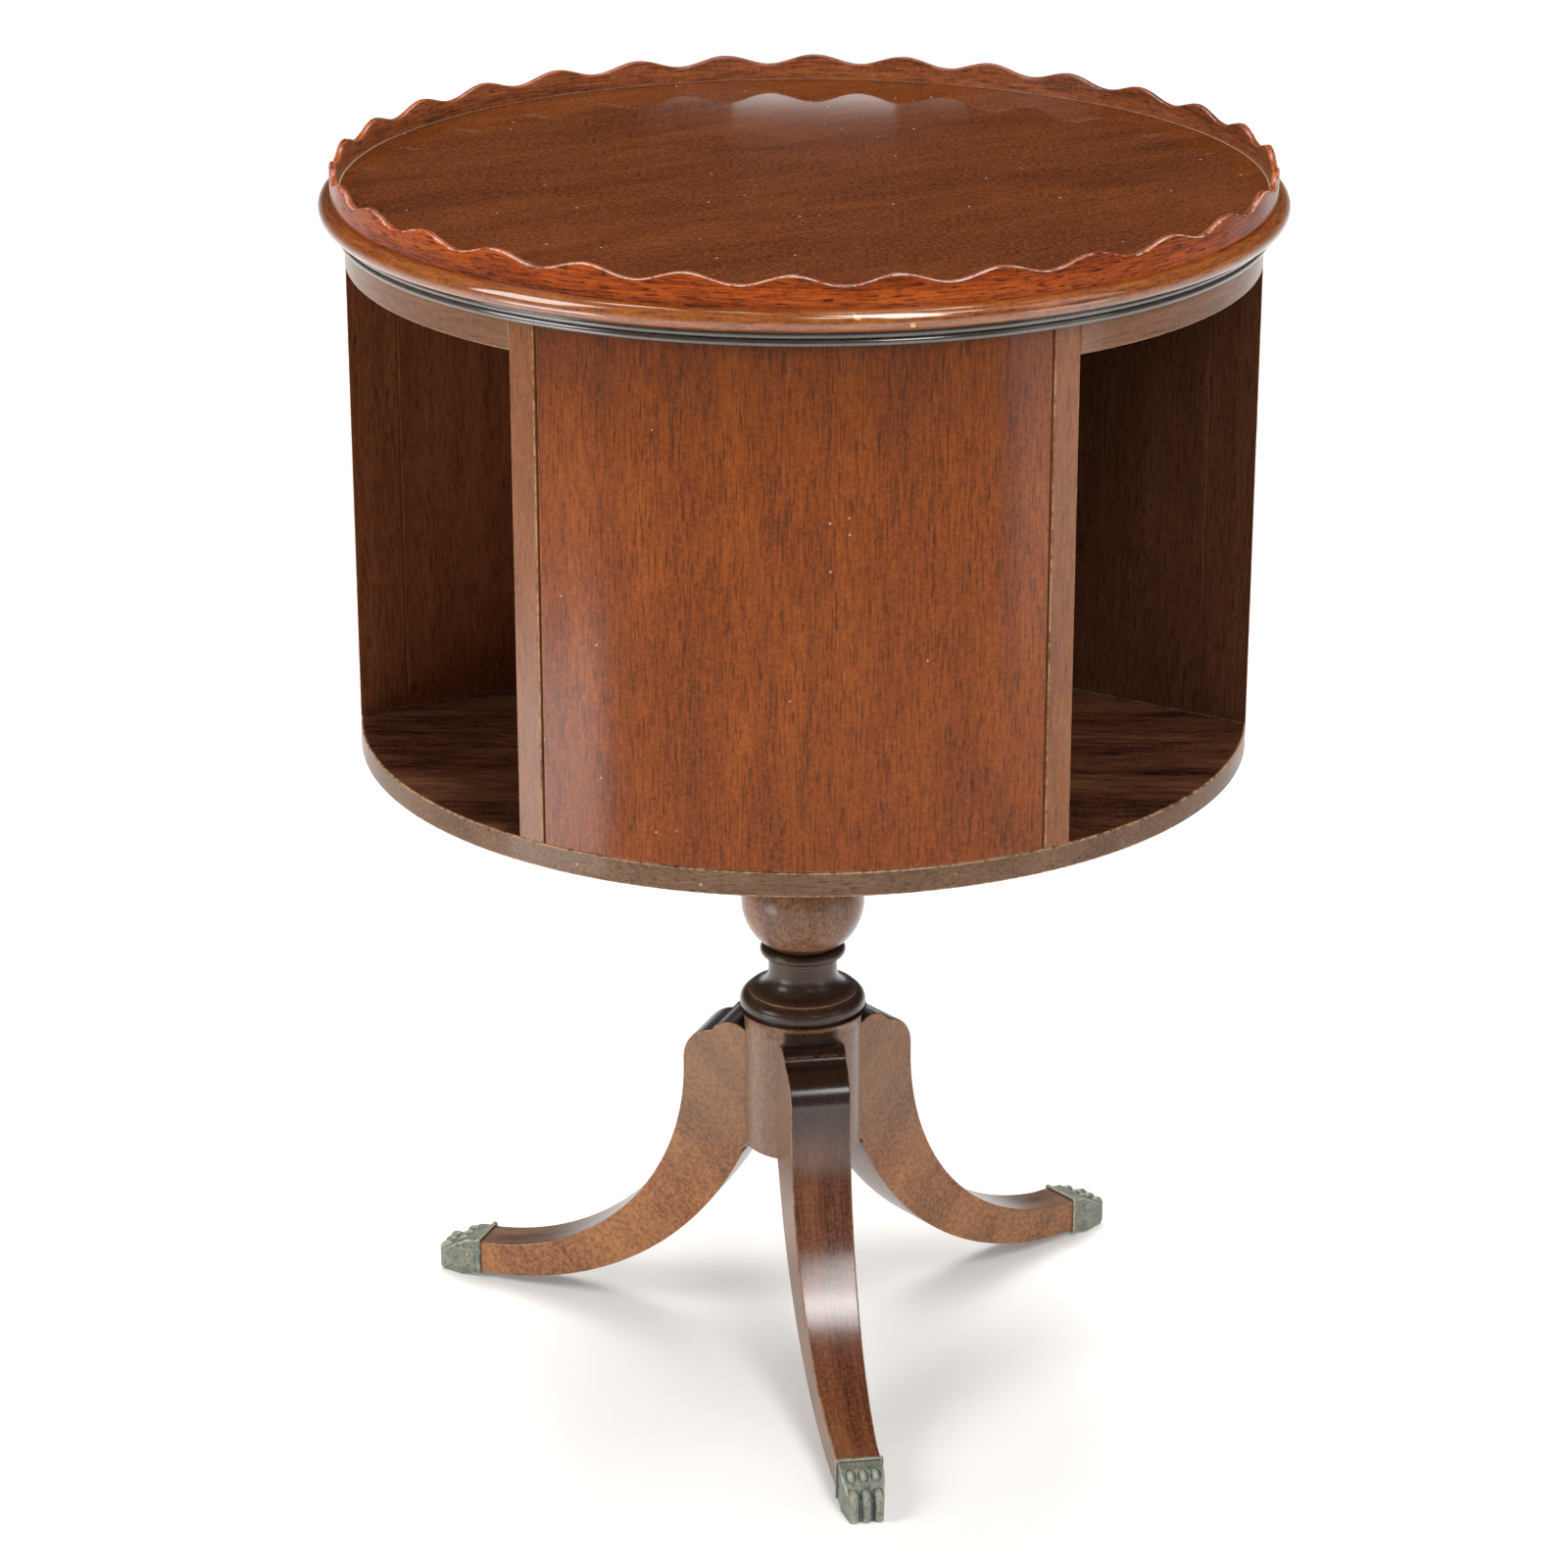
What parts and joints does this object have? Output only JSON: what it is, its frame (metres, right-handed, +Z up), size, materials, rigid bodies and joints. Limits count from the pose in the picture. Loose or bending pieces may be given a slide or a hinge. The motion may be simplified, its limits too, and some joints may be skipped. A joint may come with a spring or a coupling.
{
  "type": "revolving drum table",
  "caption": "Drum table with open book compartments that revolves on a turned pedestal with sabre legs and brass toe caps, its top ringed by a scalloped gallery.",
  "frame": {"origin": "on the floor, on the axis that the drum turns about", "axes": "+Z up; the front faces -Y, with the middle of one curved panel exactly at the front; the base stands turned 10.2 degrees so that its front leg points slightly towards +X"},
  "size_m": [0.5589, 0.559, 0.757],
  "materials": {
    "column_wood": "dark mahogany, glossy lacquer with near-black toned hollows",
    "leg_wood": "orange-brown mahogany, glossy lacquer",
    "board_wood": "tan-brown mahogany edge, satin lacquer",
    "stile_wood": "pinkish-brown mahogany, satin lacquer",
    "panel_wood": "dark red-brown mahogany, satin lacquer",
    "inside_wood": "very dark stained mahogany, satin",
    "block_wood": "bare softwood",
    "bead_wood": "black toned wood, satin",
    "rim_wood": "orange-red mahogany, glossy lacquer",
    "top_wood": "dark red-brown mottled mahogany, glossy lacquer",
    "toe_brass": "cast brass with grey-green tarnish",
    "nail_brass": "dulled brass",
    "swivel_brass": "plain brass",
    "swivel_steel": "plain steel"
  },
  "bodies": {
    "base": {"column": "column_wood", "leg_front": "leg_wood", "leg_right": "leg_wood", "leg_left": "leg_wood", "toe_cap_front": "toe_brass", "toe_cap_right": "toe_brass", "toe_cap_left": "toe_brass", "toe_cap_nails": "nail_brass", "bearer_disc": "column_wood", "swivel_lower_plate": "swivel_steel", "lower_plate_screws": "swivel_steel", "ball_retainer": "swivel_brass", "bearing_balls": "swivel_steel", "pivot_bolt": "swivel_steel", "pivot_washer": "swivel_steel", "pivot_nut": "swivel_steel"},
    "drum": {"swivel_upper_plate": "swivel_steel", "upper_plate_screws": "swivel_steel", "pivot_bush": "swivel_brass", "bottom_board": "board_wood", "partition_front_right": "inside_wood", "partition_right_front": "inside_wood", "partition_right_rear": "inside_wood", "partition_left_rear": "inside_wood", "partition_left_front": "inside_wood", "partition_front_left": "inside_wood", "back_board_right": "inside_wood", "back_board_rear": "inside_wood", "back_board_left": "inside_wood", "stile_front_right": "stile_wood", "stile_right_front": "stile_wood", "stile_right_rear": "stile_wood", "stile_left_rear": "stile_wood", "stile_left_front": "stile_wood", "stile_front_left": "stile_wood", "panel_front": "panel_wood", "panel_right": "panel_wood", "panel_left": "panel_wood", "frieze_right": "panel_wood", "frieze_rear": "panel_wood", "frieze_left": "panel_wood", "glue_blocks": "block_wood", "upper_board": "inside_wood", "bead_moulding": "bead_wood", "rim_moulding": "rim_wood", "top_board": "top_wood", "top_screws": "swivel_steel", "gallery_right": "rim_wood", "gallery_rear": "rim_wood", "gallery_left": "rim_wood"}
  },
  "joints": [
    {"name": "drum_swivel", "type": "hinge", "parent": "base", "child": "drum", "pos_m": [0, 0, 0.404], "axis": [0, 0, 1], "continuous": true}
  ]
}
